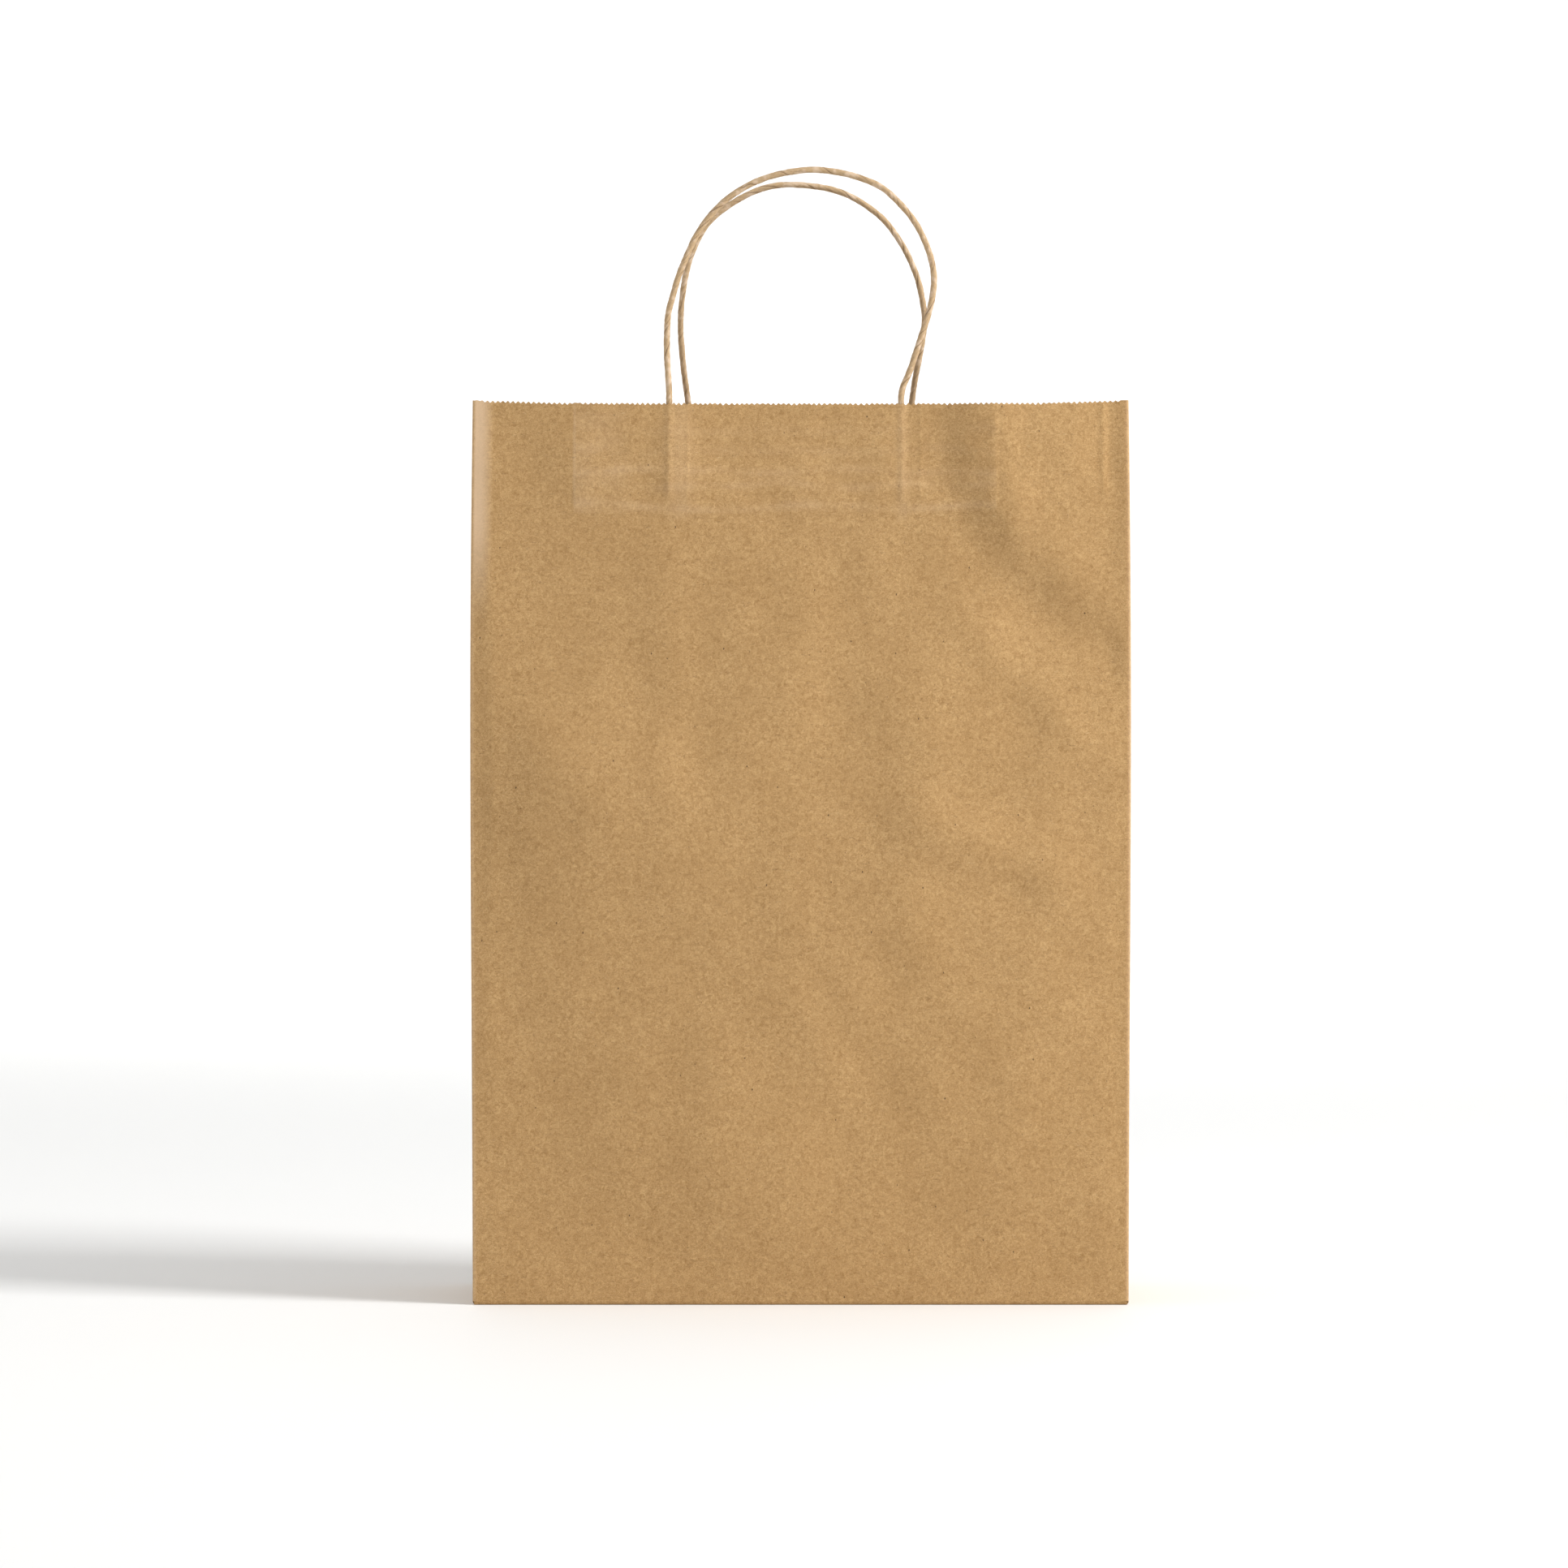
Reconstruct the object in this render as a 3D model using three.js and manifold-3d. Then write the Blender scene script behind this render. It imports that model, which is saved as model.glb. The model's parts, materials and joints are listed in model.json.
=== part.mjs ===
// A standing paper gift bag with two twisted-paper cord handles.
//
// Millimetres, +Z up, X across the bag and Y through its depth. The front panel faces -Y. The origin
// is under the middle of the bag, on the surface that it stands on.
//
// The bag is one sheet folded into a gusseted tube, and each flat face between two creases is a piece
// of its own here, because each one moves by itself when the bag folds flat. The front panel, the
// bottom and the front handle's patch stay together, and everything else swings about upright creases.

import * as THREE from 'three';
import * as BufferGeometryUtils from 'three/addons/utils/BufferGeometryUtils.js';
import Module from 'manifold-3d';

// ---- Driving dimensions ----

// The bag
const BAG_WIDTH = 240;
const BAG_DEPTH = 86;
const BAG_HEIGHT = 330;
const PAPER = 0.3; // one ply
const GLUE = 0.05; // the glue film between two plies
const FOLD_GAP = 0.3; // clearance along each upright crease
const SLIDE_GAP = 0.3; // clearance of the moving walls above the bottom

// The mouth, cut with a toothed blade
const TOOTH_PITCH = 1.9;
const TOOTH_HEIGHT = 0.9;
const MOUTH_DIP = 1; // how far the middle of a wide panel's cut lies below its corners
const DIP_RUN = 40; // the cut comes down from a corner over this length

// The lengthwise glued seam, beside the front right crease
const SEAM_FLAP_WIDTH = 18;
const SEAM_SETBACK = 1.5; // from the right crease to the front panel's cut edge

// The bottom
const BOTTOM_LAP = 18; // how far the front and back flaps overlap
const TUCK_REACH = 50; // how far a side tuck reaches in over the bottom
const TUCK_TAPER = 6; // how much narrower a tuck is at its free edge, on each side

// The handles
const CORD_DIAMETER = 2.3;
const HANDLE_PITCH = 85; // between a handle's two legs
const FRONT_HANDLE_RISE = 81.4; // from the bend line to the top of the cord's centre line
const REAR_HANDLE_RISE = 85.1;
const FRONT_HANDLE_SHIFT = -5.6; // of the handle's middle from the bag's middle
const REAR_HANDLE_SHIFT = 0;
const BEND_HEIGHT = 4; // of the line about which a handle bends, above the mouth's corners
const BEND_GAP = 0.5; // between a leg's round top and the loop's round end

// The patches, each two plies with the cord's ends between them
const PATCH_WIDTH = 154;
const PATCH_HEIGHT = 38.6;
const PATCH_DROP = 0.1; // from the bottom of the mouth's teeth to the patch
const LEG_MARGIN = 4; // from the patch's lower edge to the cord's end

// Fineness
const LEG_SIDES = 12;
const LOOP_SIDES = 8;
const LOOP_STEPS = 44;
const BUMP_STEPS = 8;

// The centre line of each handle above its bend line, as [share of half the pitch, share of the rise].
const FRONT_ROUTE = [
  [-1, 0], [-1.01, 0.08], [-1.02, 0.17], [-1.02, 0.26], [-1.01, 0.35], [-0.97, 0.43], [-0.92, 0.52],
  [-0.85, 0.61], [-0.77, 0.7], [-0.66, 0.785], [-0.52, 0.86], [-0.35, 0.92], [-0.18, 0.96], [0, 0.985],
  [0.24, 1], [0.49, 0.985], [0.66, 0.96], [0.83, 0.92], [0.98, 0.85], [1.12, 0.76], [1.22, 0.655],
  [1.27, 0.565], [1.28, 0.48], [1.25, 0.385], [1.19, 0.28], [1.13, 0.185], [1.07, 0.09], [1, 0],
];
const REAR_ROUTE = [
  [-1, 0], [-1.02, 0.08], [-1.05, 0.2], [-1.07, 0.33], [-1.07, 0.41], [-1.06, 0.48], [-1.035, 0.57],
  [-0.995, 0.655], [-0.925, 0.745], [-0.83, 0.825], [-0.71, 0.88], [-0.58, 0.925], [-0.405, 0.97],
  [-0.23, 0.995], [-0.055, 1], [0.12, 0.993], [0.295, 0.978], [0.47, 0.944], [0.64, 0.89],
  [0.775, 0.83], [0.905, 0.74], [0.993, 0.657], [1.06, 0.57], [1.1, 0.48], [1.12, 0.395], [1.1, 0.307],
  [1.07, 0.22], [1.035, 0.133], [1, 0],
];

// ---- Places worked out from them ----

const FRONT_OUTER = -BAG_DEPTH / 2;
const FRONT_INNER = FRONT_OUTER + PAPER;
const BACK_OUTER = BAG_DEPTH / 2;
const BACK_INNER = BACK_OUTER - PAPER;
const SIDE = BAG_WIDTH / 2;

const FLAP_FACE = FRONT_INNER + GLUE; // the seam flap's glued face, and the front patch's
const FRONT_CREASE = FLAP_FACE + PAPER; // the gussets' front creases
const MIDDLE_CREASE = (FRONT_CREASE + BACK_INNER) / 2;

const LAYER = PAPER + GLUE; // from one layer of the bottom to the next
const WALL_BASE = 2 * LAYER + PAPER + SLIDE_GAP;
const BEND_LINE = BAG_HEIGHT + BEND_HEIGHT;
const PATCH_TOP = BAG_HEIGHT - MOUTH_DIP - TOOTH_HEIGHT - PATCH_DROP;
const PATCH_BASE = PATCH_TOP - PATCH_HEIGHT;

const CORD_RADIUS = CORD_DIAMETER / 2;
const CORD_DEPTH = LAYER + GLUE + CORD_RADIUS; // of the cord's centre line from the patch's glued face

// ---- Materials ----

const kraft = new THREE.MeshStandardMaterial({ color: 0xba9666, roughness: 0.85, metalness: 0 });
const patchPaper = new THREE.MeshStandardMaterial({ color: 0xb08c5e, roughness: 0.88, metalness: 0 });
const cordPaper = new THREE.MeshStandardMaterial({ color: 0xc9a97c, roughness: 0.8, metalness: 0 });

// ---- Shared shapes ----

const wasm = await Module();
wasm.setup();

function toSolid(geometry) {
  const bare = geometry.clone();
  bare.deleteAttribute('normal');
  bare.deleteAttribute('uv');
  const merged = BufferGeometryUtils.mergeVertices(bare, 1e-4);
  const mesh = new wasm.Mesh({
    numProp: 3,
    vertProperties: new Float32Array(merged.attributes.position.array),
    triVerts: new Uint32Array(merged.index.array),
  });
  return new wasm.Manifold(mesh);
}

function toGeometry(solid) {
  const mesh = solid.getMesh();
  const geometry = new THREE.BufferGeometry();
  geometry.setAttribute('position', new THREE.BufferAttribute(mesh.vertProperties, 3));
  geometry.setIndex(new THREE.BufferAttribute(mesh.triVerts, 1));
  geometry.computeVertexNormals();
  return geometry;
}

function outline(points) {
  return new THREE.Shape(points.map(([x, y]) => new THREE.Vector2(x, y)));
}

function plate(points, thickness) {
  return new THREE.ExtrudeGeometry(outline(points), { depth: thickness, bevelEnabled: false });
}

// An upright sheet, one ply thick: its width is along X, its height along +Z and its thickness along +Y.
function uprightSheet(points) {
  const geometry = plate(points, PAPER);
  geometry.rotateX(Math.PI / 2);
  geometry.translate(0, PAPER, 0);
  return geometry;
}

function named(name, geometry, material, x = 0, y = 0, z = 0) {
  const mesh = new THREE.Mesh(geometry, material);
  mesh.name = name;
  mesh.position.set(x, y, z);
  return mesh;
}

// How far the mouth's cut lies below the bag's full height, by the distance from the nearest corner.
function dipAt(fromCorner) {
  const run = Math.min(fromCorner / DIP_RUN, 1);
  return MOUTH_DIP * run * run * (3 - 2 * run);
}

// The mouth's toothed edge from x = right back to x = left, with whole teeth and full tips at both ends.
function toothedEdge(left, right, heightAt) {
  const count = Math.max(1, Math.round((right - left) / TOOTH_PITCH));
  const step = (right - left) / count;
  const points = [];
  for (let i = count; i > 0; i -= 1) {
    const tip = left + i * step;
    points.push([tip, heightAt(tip)]);
    points.push([tip - step / 2, heightAt(tip - step / 2) - TOOTH_HEIGHT]);
  }
  points.push([left, heightAt(left)]);
  return points;
}

// ---- The walls ----

function panel(left, right, base) {
  const heightAt = (x) => BAG_HEIGHT - dipAt(Math.max(0, SIDE - Math.abs(x)));
  return uprightSheet([[left, base], [right, base], ...toothedEdge(left, right, heightAt)]);
}

function frontPanel() {
  const geometry = panel(-SIDE, SIDE - SEAM_SETBACK, LAYER);
  return named('front_panel', geometry, kraft, 0, FRONT_OUTER, 0);
}

function backPanel() {
  return named('back_panel', panel(-SIDE, SIDE, WALL_BASE), kraft, 0, BACK_INNER, 0);
}

function seamFlap() {
  const left = SIDE - SEAM_FLAP_WIDTH;
  const height = BAG_HEIGHT - MOUTH_DIP - TOOTH_HEIGHT;
  const points = [[left, WALL_BASE], [SIDE, WALL_BASE], [SIDE, height], [left, height]];
  return named('seam_flap', uprightSheet(points), kraft, 0, FLAP_FACE, 0);
}

// Half a gusset: an upright plate in the side of the bag, from one crease to the next.
function gussetHalf(name, side, from, to) {
  const width = to - from;
  const points = [[0, WALL_BASE], [width, WALL_BASE], ...toothedEdge(0, width, () => BAG_HEIGHT)];
  const mesh = named(name, uprightSheet(points), kraft);
  mesh.rotation.z = Math.PI / 2;
  mesh.position.set(side < 0 ? -SIDE + PAPER : SIDE, from, 0);
  return mesh;
}

function gussets() {
  const halves = [];
  for (const [word, side] of [['left', -1], ['right', 1]]) {
    const middle = FOLD_GAP / 2;
    halves.push(gussetHalf(`${word}_gusset_front`, side, FRONT_CREASE + FOLD_GAP, MIDDLE_CREASE - middle));
    halves.push(gussetHalf(`${word}_gusset_back`, side, MIDDLE_CREASE + middle, BACK_INNER - FOLD_GAP));
  }
  return halves;
}

// ---- The bottom ----

// A bottom flap: full width at its fold, mitred at 45 degrees to its free edge, past the middle.
function bottomFlap(name, towards, layer) {
  const fold = towards > 0 ? FRONT_OUTER : BACK_OUTER;
  const free = (towards * BOTTOM_LAP) / 2;
  const mitre = Math.abs(free - fold);
  const points = [[-SIDE, fold], [SIDE, fold], [SIDE - mitre, free], [mitre - SIDE, free]];
  if (towards < 0) points.reverse();
  return named(name, plate(points, PAPER), kraft, 0, 0, layer * LAYER);
}

// A side tuck: the gusset's own end, folded in over the bottom and glued under its flaps.
function bottomTuck(name, side) {
  const front = FRONT_INNER + GLUE;
  const points = [
    [side * SIDE, front],
    [side * SIDE, BACK_OUTER],
    [side * (SIDE - TUCK_REACH), BACK_OUTER - TUCK_TAPER],
    [side * (SIDE - TUCK_REACH), front + TUCK_TAPER],
  ];
  if (side < 0) points.reverse();
  return named(name, plate(points, PAPER), kraft, 0, 0, 2 * LAYER);
}

// ---- The handles ----

// The patch's outer ply lies flat on the panel. X is across and +Y points into the bag.
function outerPly(name) {
  const half = PATCH_WIDTH / 2;
  const points = [[-half, PATCH_BASE], [half, PATCH_BASE], [half, PATCH_TOP], [-half, PATCH_TOP]];
  return named(name, uprightSheet(points), patchPaper);
}

// One edge of the inner ply's section, left to right: flat, and round each leg at the given radius.
function plyEdge(flat, radius) {
  const half = PATCH_WIDTH / 2;
  const points = [[-half, flat]];
  for (const leg of [-HANDLE_PITCH / 2, HANDLE_PITCH / 2]) {
    points.push([leg - radius, flat]);
    for (let i = 0; i <= BUMP_STEPS; i += 1) {
      const turn = Math.PI * (1 - i / BUMP_STEPS);
      points.push([leg + radius * Math.cos(turn), CORD_DEPTH + radius * Math.sin(turn)]);
    }
    points.push([leg + radius, flat]);
  }
  points.push([half, flat]);
  return points;
}

// The inner ply is glued over the cord's ends, which it wraps.
function innerPly(name) {
  const hollow = CORD_RADIUS + GLUE;
  const lower = plyEdge(LAYER, hollow);
  const upper = plyEdge(LAYER + PAPER, hollow + PAPER).reverse();
  return named(name, plate([...lower, ...upper], PATCH_HEIGHT), patchPaper, 0, 0, PATCH_BASE);
}

// A leg: the glued end of the cord, up to a round top just under the bend line.
function handleLeg(name, x) {
  const base = PATCH_BASE + LEG_MARGIN;
  const dome = BEND_LINE - 2 * CORD_RADIUS - BEND_GAP - base;
  const profile = [new THREE.Vector2(0, 0), new THREE.Vector2(CORD_RADIUS, 0)];
  for (let i = 0; i <= 4; i += 1) {
    const turn = (Math.PI / 2) * (i / 4);
    const across = i === 4 ? 0 : CORD_RADIUS * Math.cos(turn);
    profile.push(new THREE.Vector2(across, dome + CORD_RADIUS * Math.sin(turn)));
  }
  const geometry = new THREE.LatheGeometry(profile, LEG_SIDES);
  geometry.rotateX(Math.PI / 2);
  return named(name, geometry, cordPaper, x, CORD_DEPTH, base);
}

// A loop: a tube along the route, with a ball at each end, centred on the bend line.
function handleLoop(name, route, rise) {
  const half = HANDLE_PITCH / 2;
  const points = route.map(([across, up]) => new THREE.Vector3(across * half, 0, up * rise));
  const section = new THREE.Shape();
  section.absarc(0, 0, CORD_RADIUS, 0, 2 * Math.PI);
  const tube = new THREE.ExtrudeGeometry(section, {
    steps: LOOP_STEPS,
    curveSegments: LOOP_SIDES,
    extrudePath: new THREE.CatmullRomCurve3(points),
  });
  let solid = toSolid(tube);
  for (const x of [-half, half]) {
    const ball = new THREE.SphereGeometry(CORD_RADIUS, LEG_SIDES, LEG_SIDES / 2);
    ball.translate(x, 0, 0);
    solid = solid.add(toSolid(ball));
  }
  return named(name, toGeometry(solid), cordPaper, 0, CORD_DEPTH, BEND_LINE);
}

// A whole handle: its patch, its two legs and its loop, lying on the face y = 0 of its own group.
function handle(word, route, rise) {
  const group = new THREE.Group();
  group.add(outerPly(`${word}_patch_outer_ply`));
  group.add(innerPly(`${word}_patch_inner_ply`));
  group.add(handleLeg(`${word}_handle_left_leg`, -HANDLE_PITCH / 2));
  group.add(handleLeg(`${word}_handle_right_leg`, HANDLE_PITCH / 2));
  group.add(handleLoop(`${word}_handle_loop`, route, rise));
  return group;
}

function frontHandle() {
  const group = handle('front', FRONT_ROUTE, FRONT_HANDLE_RISE);
  group.position.set(FRONT_HANDLE_SHIFT, FLAP_FACE, 0);
  return group;
}

// The rear handle is turned to face the front one, so its route is turned back.
function rearHandle() {
  const turned = REAR_ROUTE.map(([across, up]) => [-across, up]).reverse();
  const group = handle('rear', turned, REAR_HANDLE_RISE);
  group.rotation.z = Math.PI;
  group.position.set(REAR_HANDLE_SHIFT, BACK_INNER - GLUE, 0);
  return group;
}

// ---- The whole bag ----

const bag = new THREE.Group();
bag.add(frontPanel(), seamFlap(), backPanel(), ...gussets());
bag.add(bottomFlap('bottom_front_flap', 1, 0), bottomFlap('bottom_back_flap', -1, 1));
bag.add(bottomTuck('left_bottom_tuck', -1), bottomTuck('right_bottom_tuck', 1));
bag.add(frontHandle(), rearHandle());

export default bag;
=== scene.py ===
"""A standing kraft paper gift bag with two twisted paper cord handles.

The bag is one sheet of paper run round as a gusseted tube. Every wall is a stretch of that sheet: a grid of
points along the tube's outline and up its height, pushed in and out by a relief, with a second grid one paper
thickness inside it. Walls that cross an upright crease bend with it. All lengths are in metres.
"""

import json
import math

import bpy
import numpy as np
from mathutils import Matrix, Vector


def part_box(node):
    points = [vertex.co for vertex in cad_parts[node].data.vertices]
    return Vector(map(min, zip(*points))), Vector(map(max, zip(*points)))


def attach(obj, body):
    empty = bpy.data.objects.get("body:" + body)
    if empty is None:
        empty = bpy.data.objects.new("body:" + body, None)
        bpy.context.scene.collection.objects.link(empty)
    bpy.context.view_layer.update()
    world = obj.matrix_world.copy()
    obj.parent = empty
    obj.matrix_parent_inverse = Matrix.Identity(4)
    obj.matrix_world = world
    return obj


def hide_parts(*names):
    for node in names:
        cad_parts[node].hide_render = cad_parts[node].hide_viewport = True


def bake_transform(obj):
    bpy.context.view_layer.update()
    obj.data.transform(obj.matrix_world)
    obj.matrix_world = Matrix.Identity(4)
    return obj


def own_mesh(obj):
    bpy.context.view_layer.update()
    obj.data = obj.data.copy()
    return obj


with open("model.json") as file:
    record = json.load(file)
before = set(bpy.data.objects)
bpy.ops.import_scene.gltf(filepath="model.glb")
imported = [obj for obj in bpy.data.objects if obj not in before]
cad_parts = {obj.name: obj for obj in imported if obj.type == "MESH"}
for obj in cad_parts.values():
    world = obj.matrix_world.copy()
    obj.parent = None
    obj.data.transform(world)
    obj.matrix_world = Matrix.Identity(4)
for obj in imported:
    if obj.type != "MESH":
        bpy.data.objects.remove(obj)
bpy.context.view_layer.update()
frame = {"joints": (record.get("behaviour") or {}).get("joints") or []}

bl_info = {
    "name": "Kraft Gift Bag",
    "version": (1, 0, 0),
    "blender": (4, 5, 0),
    "location": "View3D > Sidebar > Gift Bag",
    "description": "Builds the paper walls, bottom, patches and twisted handles of a kraft gift bag",
    "category": "Add Mesh",
}

# ---- Places taken from the frame ----

MM = 0.001
JOINTS = {joint["name"]: joint for joint in frame["joints"]}


def corners(node):
    """The lowest and highest corner of a CAD node, as arrays."""
    low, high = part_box(node)
    return np.array(low), np.array(high)


HALF_WIDTH = corners("back_panel")[1][0]
HALF_DEPTH = corners("back_panel")[1][1]
HEIGHT = corners("left_gusset_front")[1][2]
WALL_BASE = corners("back_panel")[0][2]
SEAM_EDGE = corners("front_panel")[1][0]
SEAM_FLAP_EDGE = corners("seam_flap")[0][0]
FLAP_REACH = corners("bottom_front_flap")[1][1]
TUCK_EDGE = corners("left_bottom_tuck")[1][0]
MIDDLE_CREASE = JOINTS["left_gusset_crease"]["pos_m"][1]
FRONT_CREASE = JOINTS["bag_fold"]["pos_m"][1]
FRONT_QUARTER = (FRONT_CREASE + MIDDLE_CREASE) / 2
BACK_QUARTER = (HALF_DEPTH + MIDDLE_CREASE) / 2
FRONT_PATCH = corners("front_patch_outer_ply")
REAR_PATCH = corners("rear_patch_outer_ply")
LEG_BOX = corners("front_handle_left_leg")
CORD_RADIUS = (LEG_BOX[1][1] - LEG_BOX[0][1]) / 2
LEG_FOOT = LEG_BOX[0][2]

# A point of the outline that is nearer than this to a wide panel's plane lies on that panel.
PANEL_BAND = 0.0009
# The twist of a cord's strip: one turn's length, how deep it cuts, and each furrow's angle, width and depth.
TWIST_PITCH = 0.0145
TWIST_CUT = 0.20
CORD_SIDES = 20
FURROWS = ((0.0, 0.22, 1.0), (1.5, 0.16, 0.55), (2.7, 0.20, 0.85), (4.4, 0.17, 0.6))

# Soft creases of the front panel and the back one: height, the two ends as (across, up), half width, seed.
FRONT_CREASES = (
    (-0.0014, (0.070, 0.266), (0.128, 0.228), 0.009, 30),
    (0.0013, (0.048, 0.264), (0.112, 0.194), 0.0075, 31),
    (0.0018, (0.024, 0.182), (0.112, 0.150), 0.010, 32),
    (0.0023, (0.043, 0.252), (0.040, 0.112), 0.021, 33),
    (0.0005, (-0.008, 0.124), (0.018, 0.074), 0.006, 34),
    (0.0004, (-0.052, 0.290), (-0.046, 0.150), 0.010, 35),
    (0.0004, (0.000, 0.285), (-0.016, 0.170), 0.011, 36),
)
BACK_CREASES = (
    (0.0011, (-0.05, 0.30), (-0.11, 0.22), 0.012, 34),
    (-0.0009, (-0.03, 0.27), (-0.10, 0.18), 0.010, 35),
    (0.0008, (0.03, 0.12), (0.09, 0.19), 0.010, 40),
)

# The centre line of each handle above its bend line, as [share of half the pitch, share of the rise].
FRONT_ROUTE = [
    [-1, 0], [-1.01, 0.08], [-1.02, 0.17], [-1.02, 0.26], [-1.01, 0.35], [-0.97, 0.43], [-0.92, 0.52],
    [-0.85, 0.61], [-0.77, 0.7], [-0.66, 0.785], [-0.52, 0.86], [-0.35, 0.92], [-0.18, 0.96], [0, 0.985],
    [0.24, 1], [0.49, 0.985], [0.66, 0.96], [0.83, 0.92], [0.98, 0.85], [1.12, 0.76], [1.22, 0.655],
    [1.27, 0.565], [1.28, 0.48], [1.25, 0.385], [1.19, 0.28], [1.13, 0.185], [1.07, 0.09], [1, 0],
]
REAR_ROUTE = [
    [-1, 0], [-1.02, 0.08], [-1.05, 0.2], [-1.07, 0.33], [-1.07, 0.41], [-1.06, 0.48], [-1.035, 0.57],
    [-0.995, 0.655], [-0.925, 0.745], [-0.83, 0.825], [-0.71, 0.88], [-0.58, 0.925], [-0.405, 0.97],
    [-0.23, 0.995], [-0.055, 1], [0.12, 0.993], [0.295, 0.978], [0.47, 0.944], [0.64, 0.89],
    [0.775, 0.83], [0.905, 0.74], [0.993, 0.657], [1.06, 0.57], [1.1, 0.48], [1.12, 0.395], [1.1, 0.307],
    [1.07, 0.22], [1.035, 0.133], [1, 0],
]


# ---- Properties ----

def length_property(name, description, default):
    return bpy.props.FloatProperty(
        name=name, description=description, default=default, min=0, subtype="DISTANCE", unit="LENGTH",
        precision=5)


def colour_property(name, description, default):
    return bpy.props.FloatVectorProperty(
        name=name, description=description, default=default, size=4, min=0, max=1, subtype="COLOR")


class GiftBagSizes(bpy.types.PropertyGroup):
    """Sizes of the paper, its cut edge and its relief"""

    paper: length_property("Paper", "Thickness of one ply", 0.0002)
    corner: length_property("Corner radius", "Outside radius of the upright folds", 0.0008)
    tooth_pitch: length_property("Tooth pitch", "Spacing of the teeth along the mouth", 0.0019)
    tooth_height: length_property("Tooth height", "Height of the teeth along the mouth", 0.0009)
    mouth_dip: length_property("Mouth dip", "How far the cut sinks between its corners", 0.001)
    mouth_rise: length_property("Mouth rise", "How far the cut stands above its solids", 0.0009)
    side_swell: length_property("Side swell", "How far each side edge swells out", 0.0009)
    gusset_pinch: length_property("Gusset pinch", "How far a gusset's crease draws in at the mouth", 0.002)
    bow: length_property("Bow", "How far the middle of a wide panel stands out", 0.0028)


class GiftBagColours(bpy.types.PropertyGroup):
    """Colours of the kraft paper"""

    kraft: colour_property("Kraft", "Main colour of the sheet", (0.612, 0.390, 0.176, 1))
    kraft_dark: colour_property("Kraft shade", "Darker mottle of the sheet", (0.345, 0.188, 0.064, 1))
    kraft_light: colour_property("Kraft fibre", "Lighter fibres of the sheet", (0.70, 0.50, 0.27, 1))
    # Pale colour for folds worn by rubbing, also used for painted highlights on the front's upper left
    # shoulder and over the patches.
    wear_and_highlight: colour_property("Rubbed", "Paper burnished pale on folds and over glue", (0.80, 0.575, 0.375, 1))
    fleck: colour_property("Fleck", "Dark flecks of bark", (0.10, 0.052, 0.026, 1))
    cord: colour_property("Cord", "Main colour of the twisted cords", (0.56, 0.385, 0.215, 1))
    cord_dull: colour_property("Cord grain", "Darker streaks along the strip", (0.43, 0.29, 0.157, 1))
    # Painted shade for the twist's furrows.
    cord_shade: colour_property("Cord shade", "Colour deep in the twist", (0.19, 0.11, 0.05, 1))
    cord_light: colour_property("Cord light", "Colour on the ridges of the twist", (0.71, 0.54, 0.385, 1))
    floor: colour_property("Floor", "The ground under the bag", (0.86, 0.86, 0.85, 1))


# ---- Arithmetic on arrays ----

def smooth(low, high, value):
    """A smooth step from 0 at low to 1 at high."""
    share = np.clip((value - low) / (high - low), 0, 1)
    return share * share * (3 - 2 * share)


def hump(centre, reach, value):
    """A bell of height 1 at centre that falls to a third at reach."""
    return np.exp(-((value - centre) / reach) ** 2)


def waves(across, up, seed, wavelength_across, wavelength_up, count=14):
    """Smooth noise of about unit size: a sum of sines with seeded directions and phases."""
    rng = np.random.default_rng(seed)
    total = np.zeros(np.broadcast(across, up).shape)
    for turn, stretch, phase in zip(
        rng.uniform(0, 2 * math.pi, count), rng.uniform(0.6, 1.5, count), rng.uniform(0, 2 * math.pi, count)
    ):
        total += np.sin(
            2 * math.pi * stretch * (across * math.cos(turn) / wavelength_across
                                     + up * math.sin(turn) / wavelength_up) + phase)
    return total / math.sqrt(count / 2)


def ridge(x, z, start, end, width, seed):
    """A soft crease of unit height along a line from start to end, fading at both ends."""
    start, end = np.array(start), np.array(end)
    run = end - start
    length = np.hypot(*run)
    run = run / length
    along = (x - start[0]) * run[0] + (z - start[1]) * run[1]
    across = (x - start[0]) * -run[1] + (z - start[1]) * run[0]
    across = across + 0.12 * width * waves(along, 0 * along, seed, 0.03, 0.03)
    fade = smooth(0, 0.25 * length, along) * (1 - smooth(0.75 * length, length, along))
    return fade * hump(0, width, across)


# ---- Meshes ----

def add_mesh(name, points, faces, crease_angle=35):
    """A mesh object at the origin from arrays of points and faces, smooth but for its sharp edges."""
    mesh = bpy.data.meshes.new(name)
    mesh.from_pydata(points.tolist(), [], faces.tolist() if isinstance(faces, np.ndarray) else faces)
    mesh.validate()
    mesh.update()
    mesh.polygons.foreach_set("use_smooth", np.ones(len(mesh.polygons), bool))
    mesh.set_sharp_from_angle(angle=math.radians(crease_angle))
    piece = bpy.data.objects.new(name, mesh)
    bpy.context.scene.collection.objects.link(piece)
    return piece


def grid_faces(rows, columns, offset=0):
    """The four-cornered faces of a grid of rows by columns whose points are numbered row by row."""
    row, column = np.meshgrid(np.arange(rows - 1), np.arange(columns - 1), indexing="ij")
    first = (row * columns + column).ravel() + offset
    return np.stack([first, first + columns, first + columns + 1, first + 1], axis=1)


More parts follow.
